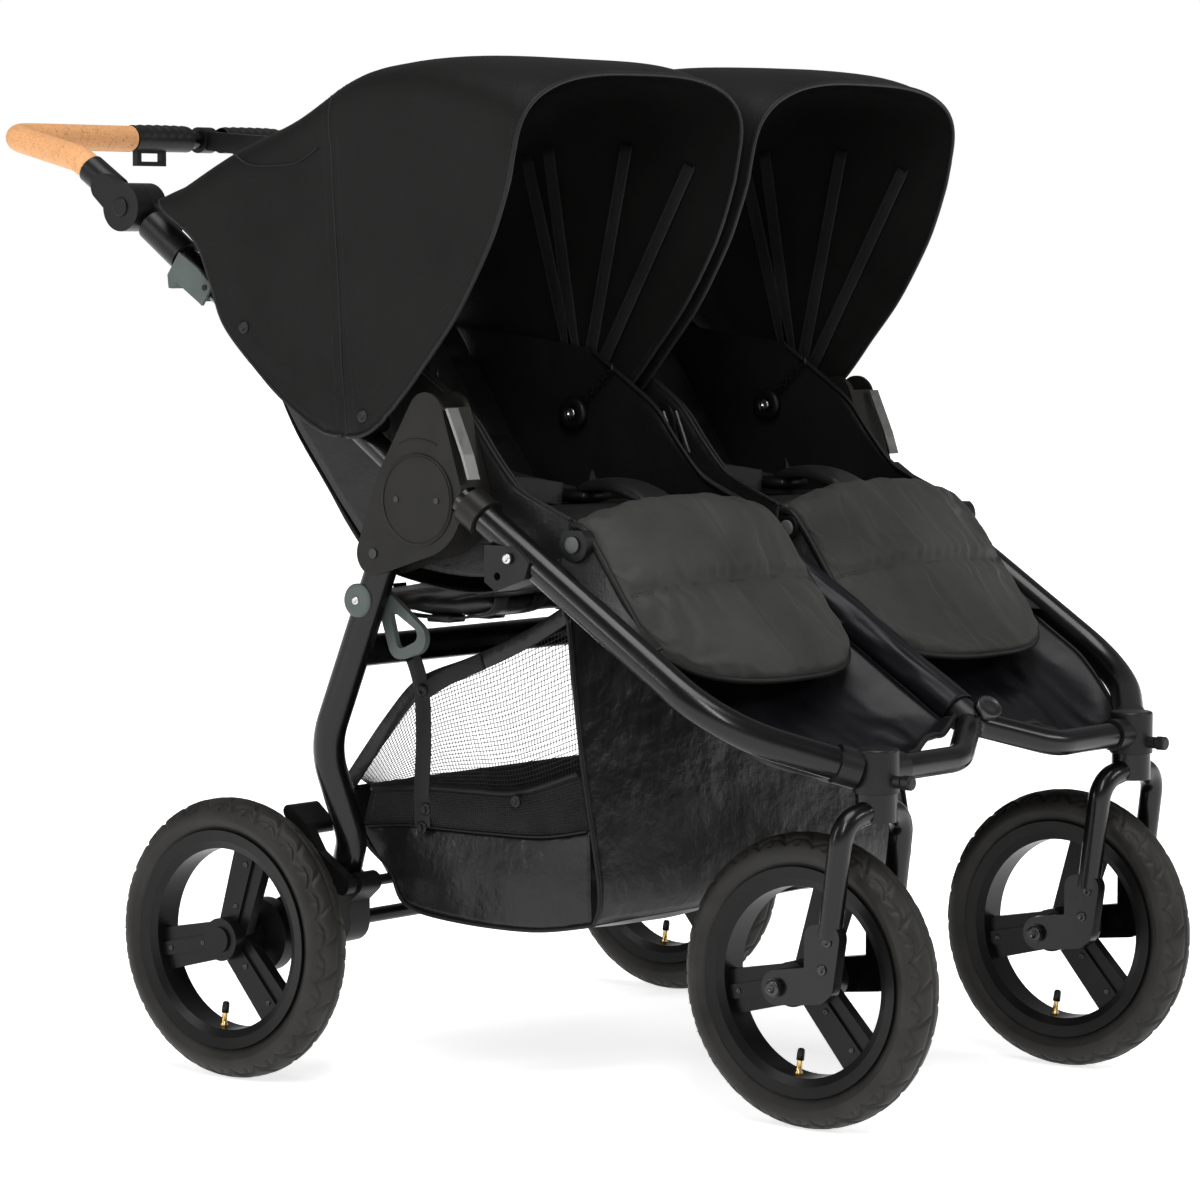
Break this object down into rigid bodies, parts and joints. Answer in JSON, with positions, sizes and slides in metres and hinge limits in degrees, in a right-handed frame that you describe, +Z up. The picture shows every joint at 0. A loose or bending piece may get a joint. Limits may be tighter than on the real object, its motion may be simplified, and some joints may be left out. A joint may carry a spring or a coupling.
{
  "type": "double jogging stroller",
  "caption": "Folding side-by-side jogging stroller with large air-filled wheels, swivelling front casters, hooded seats, cork handlebar and under-seat basket.",
  "frame": {"origin": "on the floor, under the middle of the object's box", "axes": "+Z up, +Y towards the handlebar, -Y the direction of travel, X across"},
  "size_m": [0.7812, 1.1654, 1.0478],
  "materials": {
    "frame_paint": "satin black powder coat",
    "black_plastic": "moulded, fine texture",
    "slate_plastic": "moulded slate grey",
    "satin_trim": "satin anodised",
    "steel": "bright zinc",
    "tyre_rubber": "matte with moulded tread",
    "rim_plastic": "matte black",
    "grip_rubber": "soft matte",
    "cork": "fine grained, low gloss",
    "hood_fabric": "close plain weave",
    "seat_fabric": "quilted woven",
    "coated_fabric": "glossy coated",
    "basket_fabric": "coated weave with mesh"
  },
  "bodies": {
    "frame": {"right_side_rail": "frame_paint", "left_side_rail": "frame_paint", "centre_rail": "frame_paint", "front_crossbar": "frame_paint", "right_hub_housing": "black_plastic", "left_hub_housing": "black_plastic", "centre_hub": "black_plastic", "hub_covers": "black_plastic", "metal_trim": "satin_trim", "caster_heads": "black_plastic", "frame_brackets": "black_plastic", "pivot_pins_and_screws": "steel", "right_seat_base": "seat_fabric", "left_seat_base": "seat_fabric", "right_leg_pad": "seat_fabric", "left_leg_pad": "seat_fabric", "footwell": "coated_fabric", "bumper_bar_mounts": "black_plastic", "harness_buckles": "black_plastic", "basket": "basket_fabric"},
    "rear_frame": {"right_rear_leg": "frame_paint", "left_rear_leg": "frame_paint", "rear_crossbars": "frame_paint", "wheel_carriers": "black_plastic", "rear_axles_and_pin": "steel"},
    "brake": {"brake_pedal": "black_plastic"},
    "latch": {"fold_latch": "slate_plastic"},
    "handle_frame": {"right_handle_arm": "frame_paint", "left_handle_arm": "frame_paint", "centre_handle_arm": "frame_paint", "lower_handle_joints": "black_plastic", "right_canopy_rear": "hood_fabric", "left_canopy_rear": "hood_fabric", "canopy_hinges": "black_plastic"},
    "handlebar": {"handlebar_tube": "frame_paint", "upper_handle_joints": "black_plastic", "cork_grips": "cork", "rubber_grips": "grip_rubber"},
    "right_lever": {"right_release_lever": "slate_plastic"},
    "right_button": {"right_handle_button": "black_plastic"},
    "right_hood": {"right_canopy_front": "hood_fabric"},
    "right_back": {"right_backrest": "seat_fabric"},
    "right_rear_wheel": {"right_rear_tyre": "tyre_rubber", "right_rear_rim": "rim_plastic"},
    "right_front_wheel": {"right_front_tyre": "tyre_rubber", "right_front_rim": "rim_plastic"},
    "right_caster": {"right_fork": "frame_paint", "right_front_axle": "steel"},
    "right_lock": {"right_swivel_lock": "black_plastic"},
    "left_lever": {"left_release_lever": "slate_plastic"},
    "left_button": {"left_handle_button": "black_plastic"},
    "left_hood": {"left_canopy_front": "hood_fabric"},
    "left_back": {"left_backrest": "seat_fabric"},
    "left_rear_wheel": {"left_rear_tyre": "tyre_rubber", "left_rear_rim": "rim_plastic"},
    "left_front_wheel": {"left_front_tyre": "tyre_rubber", "left_front_rim": "rim_plastic"},
    "left_caster": {"left_fork": "frame_paint", "left_front_axle": "steel"},
    "left_lock": {"left_swivel_lock": "black_plastic"}
  },
  "joints": [
    {"name": "frame_fold", "type": "hinge", "parent": "frame", "child": "handle_frame", "pos_m": [0, -0.06075, 0.6], "axis": [1, 0, 0], "range_deg": [0, 50], "deforming": ["basket"]},
    {"name": "rear_leg_fold", "type": "hinge", "parent": "frame", "child": "rear_frame", "pos_m": [0, -0.00275, 0.545], "axis": [1, 0, 0], "range_deg": [-50, 0], "deforming": ["basket"]},
    {"name": "handlebar_tilt", "type": "hinge", "parent": "handle_frame", "child": "handlebar", "pos_m": [0, 0.34125, 0.8885], "axis": [1, 0, 0], "range_deg": [-40, 20]},
    {"name": "brake_press", "type": "hinge", "parent": "rear_frame", "child": "brake", "pos_m": [0, 0.06825, 0.204], "axis": [1, 0, 0], "range_deg": [-20, 0]},
    {"name": "latch_swing", "type": "hinge", "parent": "rear_frame", "child": "latch", "pos_m": [-0.322, 0.01925, 0.498], "axis": [1, 0, 0], "range_deg": [-40, 5]},
    {"name": "right_lever_pull", "type": "hinge", "parent": "handle_frame", "child": "right_lever", "pos_m": [-0.345, 0.22685, 0.8064], "axis": [1, 0, 0], "range_deg": [-10, 0], "stiffness_Nm_per_rad": 1, "springref_deg": 11.46},
    {"name": "right_button_press", "type": "slide", "parent": "handlebar", "child": "right_button", "axis": [1, 0, 0], "range_m": [0, 0.004], "stiffness_N_per_m": 500, "springref_m": -0.002},
    {"name": "right_hood_fold", "type": "hinge", "parent": "handle_frame", "child": "right_hood", "pos_m": [-0.19, 0.01325, 0.674], "axis": [1, 0, 0], "range_deg": [-45, 0]},
    {"name": "right_recline", "type": "hinge", "parent": "frame", "child": "right_back", "pos_m": [-0.172, 0.03525, 0.556], "axis": [1, 0, 0], "range_deg": [-28, 0]},
    {"name": "right_rear_wheel_spin", "type": "hinge", "parent": "rear_frame", "child": "right_rear_wheel", "pos_m": [-0.3665, 0.18725, 0.144], "axis": [1, 0, 0], "continuous": true},
    {"name": "right_caster_swivel", "type": "hinge", "parent": "frame", "child": "right_caster", "pos_m": [-0.226, -0.51475, 0.34], "axis": [0, 0, 1], "continuous": true},
    {"name": "right_front_wheel_spin", "type": "hinge", "parent": "right_caster", "child": "right_front_wheel", "pos_m": [-0.226, -0.43875, 0.144], "axis": [1, 0, 0], "continuous": true},
    {"name": "right_lock_pull", "type": "slide", "parent": "frame", "child": "right_lock", "axis": [0, -1, 0], "range_m": [0, 0.006], "stiffness_N_per_m": 300, "springref_m": -0.002},
    {"name": "left_lever_pull", "type": "hinge", "parent": "handle_frame", "child": "left_lever", "pos_m": [0.345, 0.22685, 0.8064], "axis": [1, 0, 0], "range_deg": [-10, 0], "stiffness_Nm_per_rad": 1, "springref_deg": 11.46},
    {"name": "left_button_press", "type": "slide", "parent": "handlebar", "child": "left_button", "axis": [-1, 0, 0], "range_m": [0, 0.004], "stiffness_N_per_m": 500, "springref_m": -0.002},
    {"name": "left_hood_fold", "type": "hinge", "parent": "handle_frame", "child": "left_hood", "pos_m": [0.19, 0.01325, 0.674], "axis": [1, 0, 0], "range_deg": [-45, 0]},
    {"name": "left_recline", "type": "hinge", "parent": "frame", "child": "left_back", "pos_m": [0.172, 0.03525, 0.556], "axis": [1, 0, 0], "range_deg": [-28, 0]},
    {"name": "left_rear_wheel_spin", "type": "hinge", "parent": "rear_frame", "child": "left_rear_wheel", "pos_m": [0.3665, 0.18725, 0.144], "axis": [1, 0, 0], "continuous": true},
    {"name": "left_caster_swivel", "type": "hinge", "parent": "frame", "child": "left_caster", "pos_m": [0.226, -0.51475, 0.34], "axis": [0, 0, 1], "continuous": true},
    {"name": "left_front_wheel_spin", "type": "hinge", "parent": "left_caster", "child": "left_front_wheel", "pos_m": [0.226, -0.43875, 0.144], "axis": [1, 0, 0], "continuous": true},
    {"name": "left_lock_pull", "type": "slide", "parent": "frame", "child": "left_lock", "axis": [0, -1, 0], "range_m": [0, 0.006], "stiffness_N_per_m": 300, "springref_m": -0.002}
  ],
  "couplings": [
    {"joint": "rear_leg_fold", "follows": "frame_fold", "ratio": -1}
  ]
}
